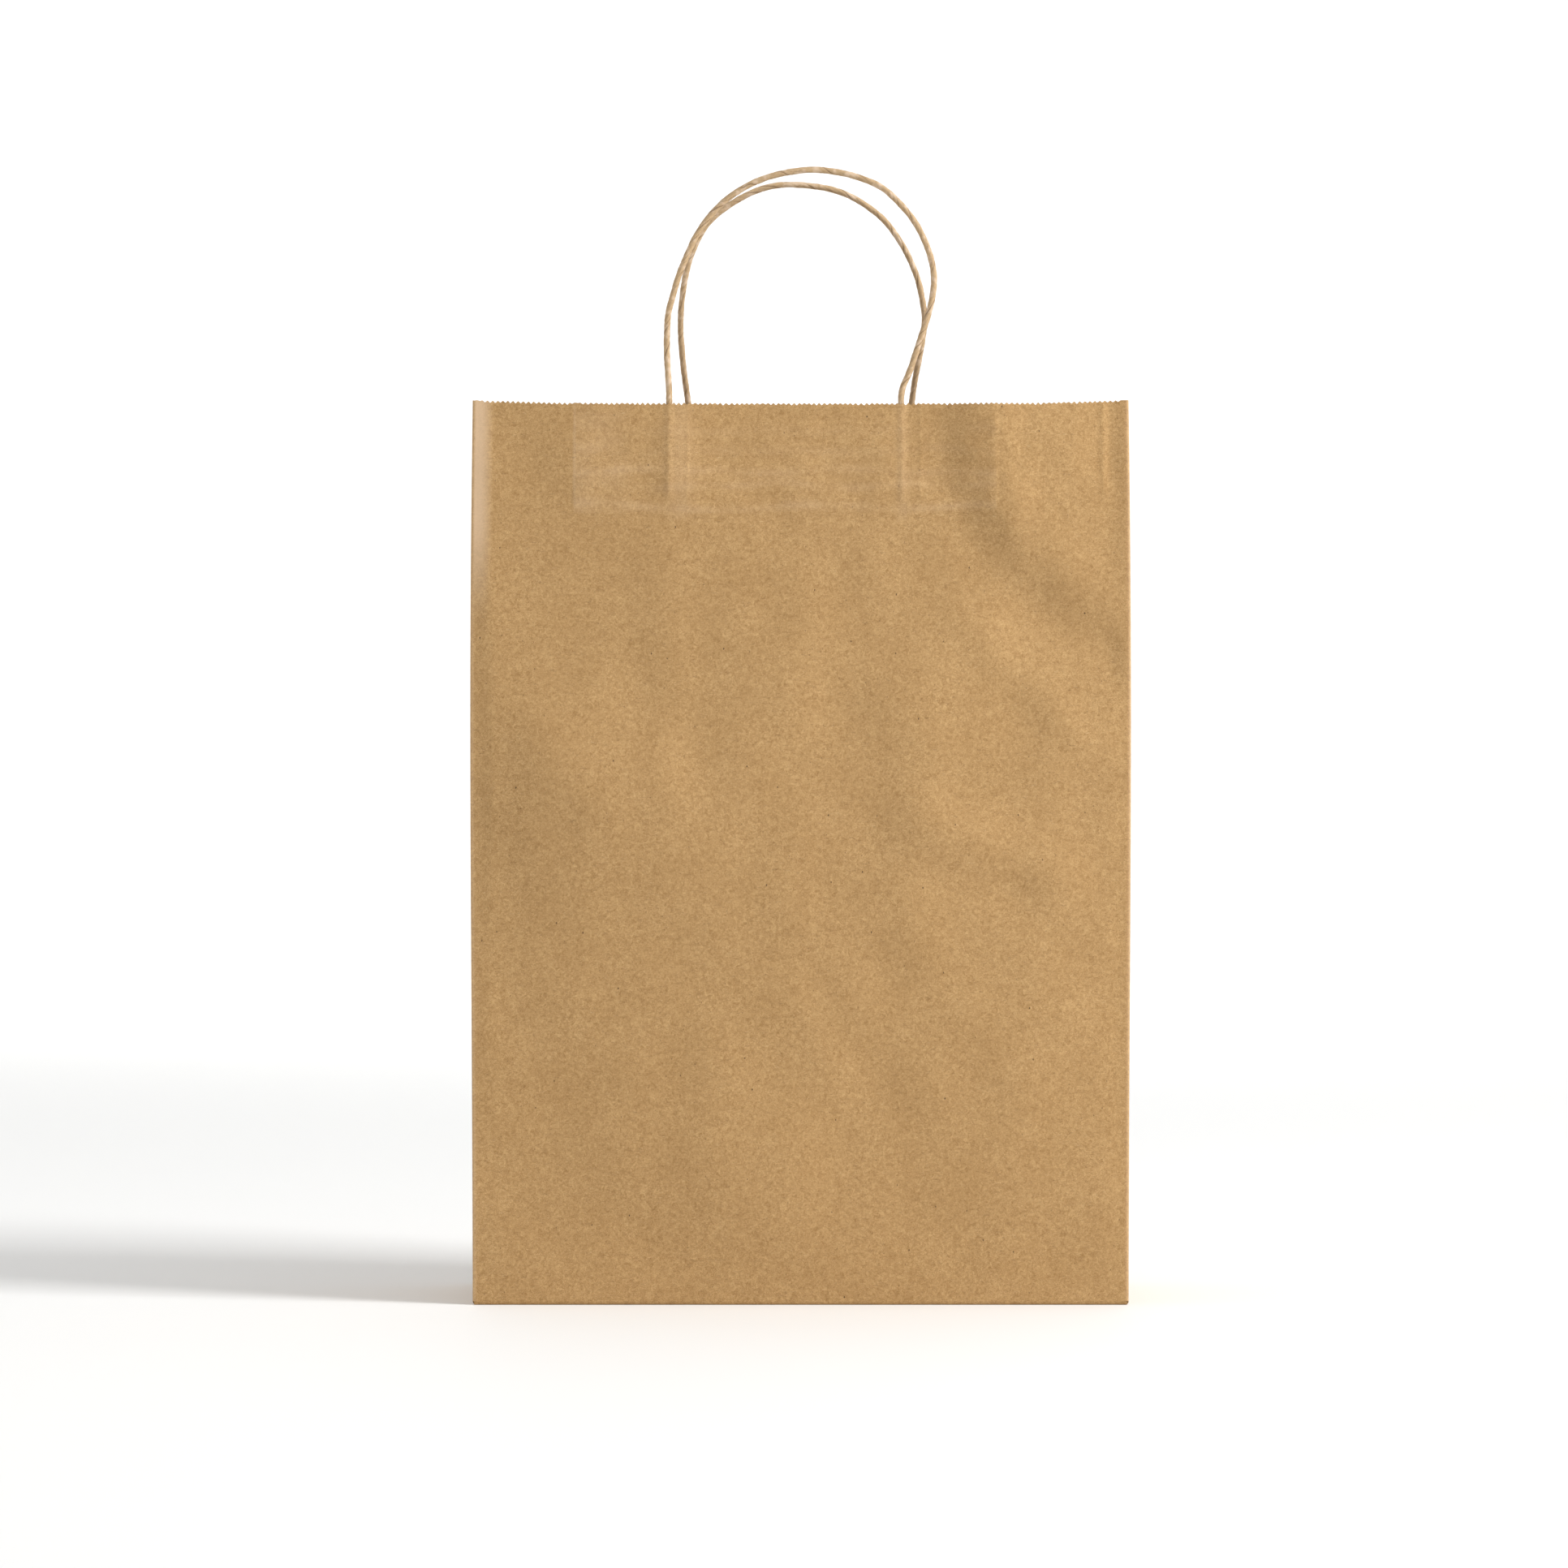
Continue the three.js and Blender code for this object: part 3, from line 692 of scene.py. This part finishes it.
def cord_tube(name, line, seed):
    """A twisted paper cord: a ring carried along the centre line, whose radius is cut by furrows that wind
    round it. The furrows' angle grows steadily with the distance along, and wanders a little. A furrow is a
    bell across that angle. The UV map unrolls the strip: the wound angle in turns, and the distance along in
    centimetres."""
    sides = CORD_SIDES
    steps = np.gradient(line, axis=0)
    tangent = steps / np.linalg.norm(steps, axis=1)[:, None]
    depthwise = np.array([0.0, 1.0, 0.0])
    across = np.cross(depthwise, tangent)
    across /= np.linalg.norm(across, axis=1)[:, None]
    other = np.cross(tangent, across)
    run = np.concatenate([[0], np.cumsum(np.linalg.norm(np.diff(line, axis=0), axis=1))])[:, None]
    turn = 2 * math.pi * np.arange(sides)[None, :] / sides
    wander = 0.5 * waves(run, 0 * run, seed, 0.03, 1) + 0.25 * waves(run, 0 * run, seed + 1, 0.009, 1)
    wound = turn - 2 * math.pi * run / TWIST_PITCH + wander
    furrow = np.zeros(wound.shape)
    for start, width, depth in FURROWS:
        gap = np.angle(np.exp(1j * (wound - start)))
        strength = depth * (0.80 + 0.30 * waves(run, 0 * run, seed + 5 + int(10 * start), 0.012, 1))
        furrow = np.maximum(furrow, np.clip(strength, 0.1, 1) * hump(0, width, gap))
    radius = CORD_RADIUS * (1.0 - TWIST_CUT * furrow + 0.03 * np.cos(2 * wound)
                            + 0.012 * waves(run, 0 * run, seed + 2, 0.008, 1))
    rings = line[:, None] + radius[..., None] * (
        np.cos(turn)[..., None] * across[:, None] + np.sin(turn)[..., None] * other[:, None])
    count = len(line)
    points = np.vstack([rings.reshape(-1, 3), line[:1], line[-1:]])
    row, column = np.meshgrid(np.arange(count - 1), np.arange(sides), indexing="ij")
    first, beside = row * sides + column, row * sides + (column + 1) % sides
    faces = np.stack([first, beside, beside + sides, first + sides], axis=2).reshape(-1, 4).tolist()
    ring = np.arange(sides)
    low, high = count * sides, count * sides + 1
    faces += [[low, int(b), int(a)] for a, b in zip(ring, np.roll(ring, -1))]
    last = ring + (count - 1) * sides
    faces += [[high, int(a), int(b)] for a, b in zip(last, np.roll(last, -1))]
    piece = add_mesh(name, points, faces, crease_angle=180)
    depth = np.concatenate([furrow.ravel(), [0, 0]]).astype(np.float32)
    piece.data.attributes.new("furrow", "FLOAT", "POINT").data.foreach_set("value", depth)
    spread = np.concatenate([(wound / (2 * math.pi)).ravel(), [0, 0]])
    down = np.concatenate([np.repeat(run.ravel(), sides) / 0.01, [0, 0]])
    corner = np.zeros(len(piece.data.loops), np.int32)
    piece.data.loops.foreach_get("vertex_index", corner)
    chart = np.column_stack([spread[corner], down[corner]])
    quads = chart[:(count - 1) * sides * 4].reshape(-1, 4, 2)
    jump = quads[:, :, 0].max(1) - quads[:, :, 0].min(1) > 0.5
    crossing = quads[jump, :, 0]
    quads[jump, :, 0] += np.where(crossing < crossing.max(1, keepdims=True) - 0.5, 1.0, 0.0)
    chart[:len(quads) * 4] = quads.reshape(-1, 2)
    piece.data.uv_layers.new(name="strip").data.foreach_set("uv", chart.astype(np.float32).ravel())
    return piece


# ---- Operators ----

class GIFTBAG_OT_stage(bpy.types.Operator):
    """Add the camera, the soft lights and the pale floor"""

    bl_idname = "giftbag.stage"
    bl_label = "Stage"
    bl_options = {"REGISTER", "UNDO"}

    def execute(self, context):
        scene = context.scene
        camera = bpy.data.cameras.new("camera")
        camera.sensor_width = 36
        distance, view_width = 1.96, 0.5734
        aside, eye_height = -0.0061, 0.1905
        camera.lens = camera.sensor_width * distance / view_width
        camera.clip_end = 20
        eye = bpy.data.objects.new("camera", camera)
        eye.location = (aside, -HALF_DEPTH - distance, eye_height)
        eye.rotation_euler = (math.pi / 2, 0, 0)
        scene.collection.objects.link(eye)
        scene.camera = eye
        self.light(scene, "key", (1.85, -0.82, 1.45), (0, 0, 0.17), 0.8, 61)
        self.light(scene, "left_strip", (-1.9, -0.10, 0.7), (0, 0, 0.25), 0.7, 11)
        self.light(scene, "overhead", (0, 0.2, 3.0), (0, 0.2, 0), 8.4, 108)
        self.light(scene, "sweep_light", (0, 2.9, 2.3), (0, 4.4, 0.3), 2.5, 50)
        world = bpy.data.worlds.new("studio")
        world.use_nodes = True
        background = world.node_tree.nodes["Background"]
        background.inputs["Color"].default_value = (1, 1, 1, 1)
        background.inputs["Strength"].default_value = 0.20
        scene.world = world
        scene.view_settings.view_transform = "Standard"
        self.sweep(scene)
        return {"FINISHED"}

    def sweep(self, scene):
        """A pale floor that runs back and turns up in a quarter circle behind the bag."""
        reach, turn_start, radius, top = 9.0, 3.6, 1.2, 4.0
        turn = np.radians(np.linspace(0, 90, 24))
        back = np.concatenate([[-reach], turn_start + radius * np.sin(turn), [turn_start + radius]])
        up = np.concatenate([[0.0], radius * (1 - np.cos(turn)), [top]])
        points = np.array([[x, y, z] for y, z in zip(back, up) for x in (-reach, reach)])
        row = 2 * np.arange(len(back) - 1)
        floor = add_mesh("floor", points, np.stack([row, row + 1, row + 3, row + 2], axis=1))
        material, nodes, shader = new_material("floor_finish")
        shader.inputs["Base Color"].default_value = scene.gift_bag_colours.floor
        shader.inputs["Roughness"].default_value = 0.7
        floor.data.materials.append(material)

    def light(self, scene, name, place, target, size, power):
        """A square soft light at a place, turned to face a target."""
        lamp = bpy.data.lights.new(name, "AREA")
        lamp.size = size
        lamp.energy = power
        holder = bpy.data.objects.new(name, lamp)
        holder.visible_camera = False
        holder.location = place
        towards = np.array(target) - np.array(place)
        flat = math.hypot(towards[0], towards[1])
        lean = math.atan2(flat, -towards[2])
        heading = math.atan2(towards[1], towards[0]) - math.pi / 2
        holder.rotation_euler = (lean, 0, heading)
        scene.collection.objects.link(holder)


class GIFTBAG_OT_cords(bpy.types.Operator):
    """Twist the two paper cords, each with its glued ends and its loop"""

    bl_idname = "giftbag.cords"
    bl_label = "Handle Cords"
    bl_options = {"REGISTER", "UNDO"}

    def execute(self, context):
        material = twisted_paper(context.scene.gift_bag_colours)
        for word, route, body, seed in (("front", FRONT_ROUTE, "front_shell", 91),
                                        ("rear", REAR_ROUTE, "back_shell", 95)):
            line = cord_centre_line(word, route)
            cord = cord_tube(f"{word}_handle_cord", line, seed)
            cord.data.materials.append(material)
            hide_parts(*(f"{word}_handle_{part}" for part in ("left_leg", "right_leg", "loop")))
            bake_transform(cord)
        return {"FINISHED"}


class GIFTBAG_OT_front(bpy.types.Operator):
    """Lay the front panel, with its toothed mouth and the marks of the patch behind it"""

    bl_idname = "giftbag.front"
    bl_label = "Front Panel"
    bl_options = {"REGISTER", "UNDO"}

    def execute(self, context):
        sizes = context.scene.gift_bag_sizes
        start, end = SEAM_EDGE, -HALF_WIDTH + 2 * sizes.corner
        columns = 4 * round((start - end) / sizes.tooth_pitch)
        path = outline(straight((start, -HALF_DEPTH), (end, -HALF_DEPTH), columns))
        piece = finish_paper(wall("front_sheet", path))
        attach(piece, "front_shell")
        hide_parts("front_panel")
        return {"FINISHED"}


class GIFTBAG_OT_back(bpy.types.Operator):
    """Lay the back panel, whose right end turns the corner"""

    bl_idname = "giftbag.back"
    bl_label = "Back Panel"
    bl_options = {"REGISTER", "UNDO"}

    def execute(self, context):
        sizes = context.scene.gift_bag_sizes
        radius = sizes.corner
        start, end = -HALF_WIDTH + 2 * radius, HALF_WIDTH - radius
        columns = 4 * round((end - start) / sizes.tooth_pitch)
        path = outline(
            straight((start, HALF_DEPTH), (end, HALF_DEPTH), columns),
            arc((end, HALF_DEPTH - radius), radius, 90, 0, 5))
        piece = finish_paper(wall("back_sheet", path))
        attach(piece, "back_shell")
        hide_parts("back_panel")
        return {"FINISHED"}


class GIFTBAG_OT_gussets(bpy.types.Operator):
    """Fold the gussets: two corners and a creased middle on each side, and the glued seam flap"""

    bl_idname = "giftbag.gussets"
    bl_label = "Gussets and Seam"
    bl_options = {"REGISTER", "UNDO"}

    def execute(self, context):
        sizes = context.scene.gift_bag_sizes
        radius, depth, side = sizes.corner, HALF_DEPTH, HALF_WIDTH
        step = sizes.tooth_pitch / 4

        def side_run(x, start, end):
            return straight((x, start), (x, end), max(3, round(abs(end - start) / step)))

        path = outline(
            straight((2 * radius - side, -depth), (radius - side, -depth), 2),
            arc((radius - side, radius - depth), radius, 270, 180, 6),
            side_run(-side, radius - depth, FRONT_QUARTER))
        piece = finish_paper(wall("left_front_corner", path))
        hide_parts("left_gusset_front")
        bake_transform(piece)

        path = outline(
            side_run(-side, FRONT_QUARTER, MIDDLE_CREASE),
            side_run(-side, MIDDLE_CREASE, BACK_QUARTER))
        piece = finish_paper(wall("left_gusset_crease", path))
        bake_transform(piece)

        path = outline(
            side_run(-side, BACK_QUARTER, depth - radius),
            arc((radius - side, depth - radius), radius, 180, 90, 6),
            straight((radius - side, depth), (2 * radius - side, depth), 2))
        piece = finish_paper(wall("left_back_corner", path))
        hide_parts("left_gusset_back")
        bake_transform(piece)

        path = outline(
            side_run(side, depth - radius, MIDDLE_CREASE),
            side_run(side, MIDDLE_CREASE, FRONT_QUARTER))
        piece = finish_paper(wall("right_gusset_crease", path))
        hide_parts("right_gusset_back")
        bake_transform(piece)

        glue = 0.00012
        behind = -depth + sizes.paper + glue
        path = outline(
            side_run(side, FRONT_QUARTER, behind + radius),
            arc((side - radius, behind + radius), radius, 0, -90, 6),
            straight((side - radius, behind), (SEAM_FLAP_EDGE, behind), 30))
        piece = finish_paper(wall("right_front_corner", path))
        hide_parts("right_gusset_front", "seam_flap")
        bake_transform(piece)
        return {"FINISHED"}


class GIFTBAG_OT_bottom(bpy.types.Operator):
    """Fold the block bottom: two side tucks inside the bag, and two mitred flaps that overlap below them"""

    bl_idname = "giftbag.bottom"
    bl_label = "Bottom"
    bl_options = {"REGISTER", "UNDO"}

    def execute(self, context):
        sizes = context.scene.gift_bag_sizes
        self.flap("bottom_front_sheet", -1, sizes)
        self.flap("bottom_back_sheet", 1, sizes)
        for word, side in (("left", -1), ("right", 1)):
            self.tuck(f"{word}_tuck_sheet", side, sizes)
        return {"FINISHED"}

    def run_in(self, reach, lift):
        """A fold's section: a quarter circle down from the wall's foot, and a run in over the ground that
        rises by the lift. Gives the distance in from the wall's face, the height and the outward normal of
        each point."""
        radius = WALL_BASE
        turn = np.radians(np.linspace(0, 90, 8))
        fold = np.column_stack([radius * (1 - np.cos(turn)), radius * (1 - np.sin(turn)),
                                -np.cos(turn), -np.sin(turn)])
        count = max(8, round((reach - radius) / 0.002))
        flat_run = np.linspace(radius, reach, count)[1:]
        flat = np.column_stack([flat_run, 0 * flat_run, 0 * flat_run, 0 * flat_run - 1])
        section = np.vstack([fold, flat])
        section[:, 1] += lift * smooth(0.5 * radius, 0.01, section[:, 0])
        return section

    def flap(self, name, side, sizes):
        """A front or back flap. Rows run in from the fold, columns across between the mitres. The front one
        is outermost and ends in the sheet's toothed cut."""
        reach = HALF_DEPTH + FLAP_REACH
        front = side < 0
        section = self.run_in(reach, 0.0 if front else sizes.paper)
        inward, height, normal_in, normal_up = (section[:, i][:, None] for i in range(4))
        share = np.linspace(-1, 1, 4 * round(2 * (HALF_WIDTH - reach) / sizes.tooth_pitch) + 1)[None, :]
        half = HALF_WIDTH - 0.0006 - np.maximum(inward - WALL_BASE, 0)
        x = share * half
        cut = teeth(0.3 + x) if front else 0 * x
        inward = inward - cut * (inward >= reach - 1e-6)
        buckle = 0.00005 * waves(x, inward, 101 if front else 104, 0.05, 0.03)
        buckle = buckle * smooth(0.002, 0.02, inward)
        z = height + np.abs(buckle) + 0 * x
        grids = []
        for depth in (0, sizes.paper):
            y = side * (HALF_DEPTH - inward - depth * np.abs(normal_in))
            grids.append(np.stack([x, y + 0 * x, z + depth * np.abs(normal_up)], axis=2))
        grids = [grid[::-1, ::-1] if front else grid[::-1] for grid in grids]
        piece = finish_paper(closed_sheet(name, *grids))
        self.settle(piece, "bottom_front_flap" if front else "bottom_back_flap")

    def tuck(self, name, side, sizes):
        """A side tuck, which lies over both flaps. Rows run in from the gusset's foot, columns along the
        bag's depth."""
        section = self.run_in(HALF_WIDTH + TUCK_EDGE, 2 * sizes.paper)
        inward, height, normal_in, normal_up = (section[:, i][:, None] for i in range(4))
        share = np.linspace(-1, 1, 41)[None, :]
        half = HALF_DEPTH - 0.0008 - 0.12 * np.maximum(inward - WALL_BASE, 0)
        y = share * half
        grids = []
        for depth in (0, sizes.paper):
            x = side * (HALF_WIDTH - inward - depth * np.abs(normal_in)) + 0 * y
            grids.append(np.stack([x, y, height + depth * np.abs(normal_up) + 0 * y], axis=2))
        grids = [grid[::-1] if side < 0 else grid[::-1, ::-1] for grid in grids]
        piece = finish_paper(closed_sheet(name, *grids))
        self.settle(piece, f"{'left' if side < 0 else 'right'}_bottom_tuck")

    def settle(self, piece, node):
        """The bottom rides with the front panel."""
        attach(piece, "front_shell")
        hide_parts(node)
        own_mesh(piece)


class GIFTBAG_OT_patches(bpy.types.Operator):
    """Glue the handle patches inside the panels: a flat ply and a ply that wraps the cord's ends"""

    bl_idname = "giftbag.patches"
    bl_label = "Handle Patches"
    bl_options = {"REGISTER", "UNDO"}

    def execute(self, context):
        sizes = context.scene.gift_bag_sizes
        for word, side, box, body in (("front", -1, FRONT_PATCH, "front_shell"),
                                      ("rear", 1, REAR_PATCH, "back_shell")):
            glue = 0.00005
            self.ply(word, "outer", side, box, sizes, sizes.paper + glue, body)
            self.ply(word, "inner", side, box, sizes, 2 * (sizes.paper + glue), body)
        return {"FINISHED"}

    def ply(self, word, name, side, box, sizes, depth_in, body):
        """A ply as a closed sheet behind its panel, with finer columns near the legs. The inner one rises
        over each leg in a soft tent."""
        (left, _, low), (right, _, high) = box
        legs = handle_legs(word)
        fine = np.concatenate([leg + np.linspace(-0.0045, 0.0090, 46) for leg in legs])
        x = np.unique(np.concatenate([np.linspace(left, right, 120), fine]).round(6))[None, :]
        z = np.linspace(low, high, 34)[:, None]
        if name == "inner":
            z = z + 0.6 * MM
        face = front_relief(x, z) if word == "front" else back_relief(x, z)
        out = HALF_DEPTH + face - depth_in
        if name == "inner":
            for leg in legs:
                tent = hump(leg, 0.0019, x) * smooth(LEG_FOOT - 0.004, LEG_FOOT - 0.0005, z)
                out = out - (2 * CORD_RADIUS + 0.00014) * tent
            out = out - 0.00008 * np.abs(waves(x, z, 111, 0.014, 0.011))
        grids = []
        for depth in (0, sizes.paper):
            grids.append(np.stack([x * side_swell(z), side * (out - depth), z + 0 * x], axis=2))
        if side < 0:
            grids = [grid[:, ::-1] for grid in grids]
        piece = finish_paper(closed_sheet(f"{word}_patch_{name}_sheet", *grids), "patch_paper")
        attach(piece, body)
        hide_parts(f"{word}_patch_{name}_ply")


class GIFTBAG_PT_panel(bpy.types.Panel):
    """Lists the bag's pieces in the sidebar"""

    bl_label = "Gift Bag"
    bl_idname = "GIFTBAG_PT_panel"
    bl_space_type = "VIEW_3D"
    bl_region_type = "UI"
    bl_category = "Gift Bag"

    def draw(self, context):
        for operator in OPERATORS:
            self.layout.operator(operator.bl_idname)


OPERATORS = (
    GIFTBAG_OT_stage, GIFTBAG_OT_cords, GIFTBAG_OT_front, GIFTBAG_OT_back, GIFTBAG_OT_gussets,
    GIFTBAG_OT_bottom, GIFTBAG_OT_patches,
)
CLASSES = (GiftBagSizes, GiftBagColours, *OPERATORS, GIFTBAG_PT_panel)


def register():
    for item in CLASSES:
        bpy.utils.register_class(item)
    bpy.types.Scene.gift_bag_sizes = bpy.props.PointerProperty(type=GiftBagSizes)
    bpy.types.Scene.gift_bag_colours = bpy.props.PointerProperty(type=GiftBagColours)


def unregister():
    del bpy.types.Scene.gift_bag_colours
    del bpy.types.Scene.gift_bag_sizes
    for item in reversed(CLASSES):
        bpy.utils.unregister_class(item)


def main():
    register()
    bpy.ops.giftbag.stage()
    bpy.ops.giftbag.cords()
    bpy.ops.giftbag.front()
    bpy.ops.giftbag.back()
    bpy.ops.giftbag.gussets()
    bpy.ops.giftbag.bottom()
    bpy.ops.giftbag.patches()


if __name__ == "__main__":
    main()
